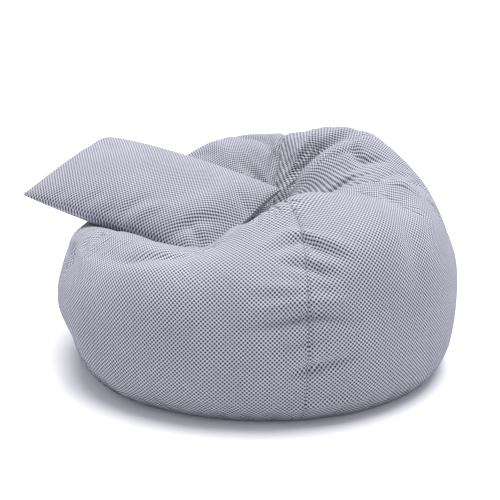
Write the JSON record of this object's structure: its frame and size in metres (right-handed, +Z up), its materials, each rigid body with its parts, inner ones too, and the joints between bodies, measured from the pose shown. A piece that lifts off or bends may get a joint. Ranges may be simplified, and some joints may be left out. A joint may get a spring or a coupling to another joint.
{
  "type": "bean bag chair",
  "caption": "Low round bean bag chair with a dished seat, four-gore woven cover with zipped base and liner, and a loose rectangular cushion lying in the seat.",
  "frame": {"origin": "centre of the flat base, on the floor", "axes": "+Z up; +Y from the open front of the bag to the ridge behind the seat; +X towards the high side of the seat, so the cushion's free end points to -X"},
  "size_m": [0.9694, 0.8732, 0.4699],
  "materials": {
    "cover_weave": "matte",
    "zip_tape": "matte",
    "zip_coil": "satin",
    "zip_metal": "satin",
    "liner_cloth": "matte",
    "case_cloth": "matte",
    "beads": "matte",
    "cushion_fibre": "matte"
  },
  "bodies": {
    "bag": {"front_left_panel": "cover_weave", "front_right_panel": "cover_weave", "rear_right_panel": "cover_weave", "rear_left_panel": "cover_weave", "base_front_part": "cover_weave", "base_rear_part": "cover_weave", "base_zip_tape_front": "zip_tape", "base_zip_tape_rear": "zip_tape", "base_zip_coil_front": "zip_coil", "base_zip_coil_rear": "zip_coil", "base_zip_stop_left": "zip_metal", "base_zip_stop_right": "zip_metal", "liner_dome": "liner_cloth", "liner_base_front_part": "liner_cloth", "liner_base_rear_part": "liner_cloth", "liner_zip_tape_front": "zip_tape", "liner_zip_tape_rear": "zip_tape", "liner_zip_coil_front": "zip_coil", "liner_zip_coil_rear": "zip_coil", "liner_zip_stop_left": "zip_metal", "liner_zip_stop_right": "zip_metal", "bead_fill": "beads"},
    "base_zip_slider": {"base_zip_slider": "zip_metal"},
    "liner_zip_slider": {"liner_zip_slider": "zip_metal"},
    "cushion": {"cushion_top_panel": "cover_weave", "cushion_bottom_panel": "cover_weave", "cushion_case_upper": "case_cloth", "cushion_case_lower": "case_cloth", "cushion_filling": "cushion_fibre", "cushion_zip_tape_upper": "zip_tape", "cushion_zip_tape_lower": "zip_tape", "cushion_zip_coil_upper": "zip_coil", "cushion_zip_coil_lower": "zip_coil", "cushion_zip_stop_left": "zip_metal", "cushion_zip_stop_right": "zip_metal"},
    "cushion_zip_slider": {"cushion_zip_slider": "zip_metal"},
    "cushion_zip_pull": {"cushion_zip_pull": "zip_metal"}
  },
  "joints": [
    {"name": "cushion_lift", "type": "slide", "parent": "bag", "child": "cushion", "axis": [0, 0, 1], "range_m": [0, 0.45]},
    {"name": "base_zip_travel", "type": "slide", "parent": "bag", "child": "base_zip_slider", "axis": [-1, 0, 0], "range_m": [0, 0.57]},
    {"name": "liner_zip_travel", "type": "slide", "parent": "bag", "child": "liner_zip_slider", "axis": [-1, 0, 0], "range_m": [0, 0.47]},
    {"name": "cushion_zip_travel", "type": "slide", "parent": "cushion", "child": "cushion_zip_slider", "axis": [-0.8219, 0.5544, 0.1305], "range_m": [0, 0.31]},
    {"name": "cushion_zip_pull_swing", "type": "hinge", "parent": "cushion_zip_slider", "child": "cushion_zip_pull", "pos_m": [-0.02596, 0.11976, 0.38237], "axis": [-0.0501, -0.2987, 0.953], "range_deg": [0, 180]}
  ]
}
